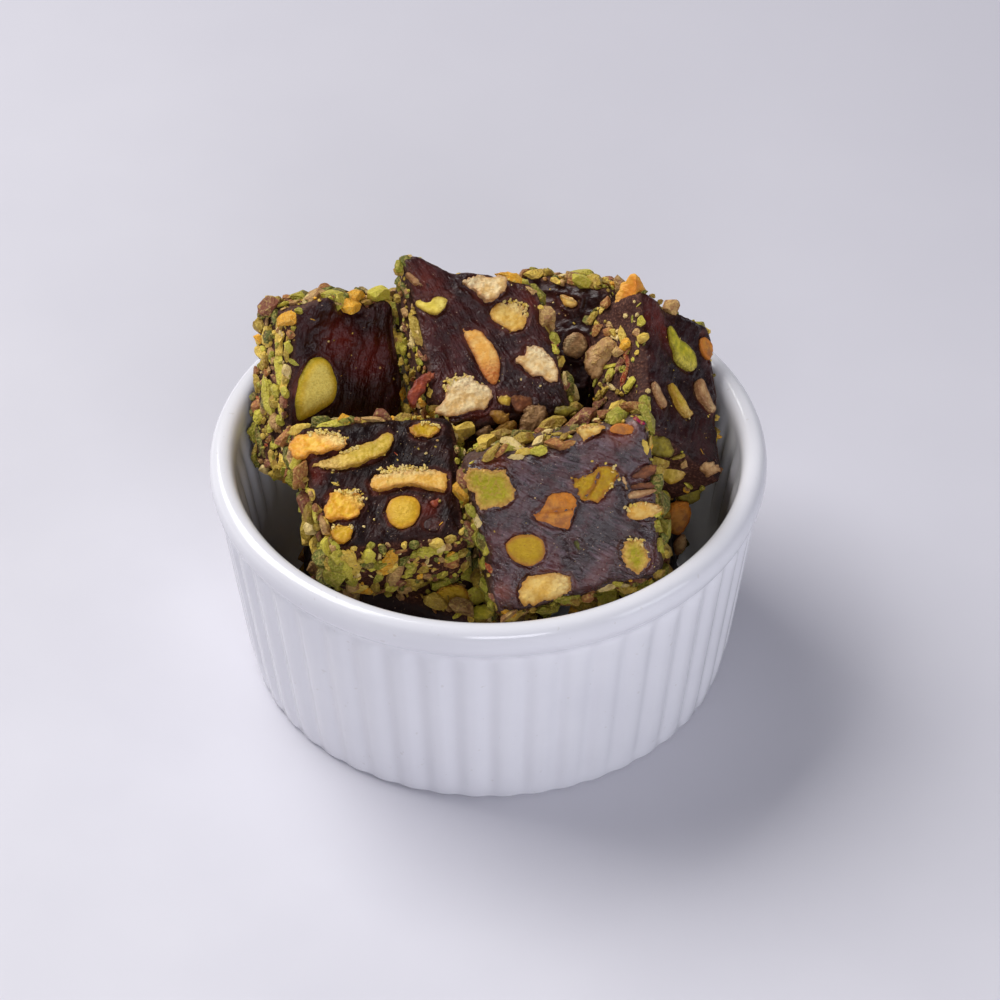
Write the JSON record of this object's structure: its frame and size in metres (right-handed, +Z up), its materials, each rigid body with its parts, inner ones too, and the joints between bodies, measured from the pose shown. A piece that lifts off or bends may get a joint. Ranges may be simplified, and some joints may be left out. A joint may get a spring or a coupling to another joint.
{
  "type": "bowl of turkish delight",
  "caption": "Fluted white ramekin heaped with thick, dark slices of nut-studded lokum rolled in crushed pistachio.",
  "frame": {"origin": "centre of the ramekin's foot, on the surface it stands on", "axes": "+Z up along the ramekin's axis, -Y towards the front of the heap, +X to its right"},
  "size_m": [0.09, 0.09, 0.0633],
  "materials": {
    "porcelain": "glossy white glaze",
    "jelly": "dark translucent jelly, knife-cut, satin",
    "kernel": "cut pistachio kernel, matt"
  },
  "bodies": {
    "root": {"ramekin": "porcelain", "slice_front_left": "jelly", "slice_front_left_kernel_1": "kernel", "slice_front_left_kernel_2": "kernel", "slice_front_left_kernel_3": "kernel", "slice_front_left_kernel_4": "kernel", "slice_front_left_kernel_5": "kernel", "slice_front_right": "jelly", "slice_front_right_kernel_1": "kernel", "slice_front_right_kernel_2": "kernel", "slice_front_right_kernel_3": "kernel", "slice_front_right_kernel_4": "kernel", "slice_front_right_kernel_5": "kernel", "slice_front_right_kernel_6": "kernel", "slice_front_right_kernel_7": "kernel", "slice_back_left": "jelly", "slice_back_left_kernel_1": "kernel", "slice_top": "jelly", "slice_top_kernel_1": "kernel", "slice_top_kernel_2": "kernel", "slice_top_kernel_3": "kernel", "slice_top_kernel_4": "kernel", "slice_top_kernel_5": "kernel", "slice_back": "jelly", "slice_back_kernel_1": "kernel", "slice_back_right": "jelly", "slice_back_right_kernel_1": "kernel", "slice_back_right_kernel_2": "kernel", "slice_back_right_kernel_3": "kernel", "slice_low_front": "jelly", "slice_low_right": "jelly", "slice_low_back_right": "jelly", "slice_low_back_left": "jelly", "slice_low_left": "jelly", "slice_low_middle": "jelly"}
  },
  "joints": []
}
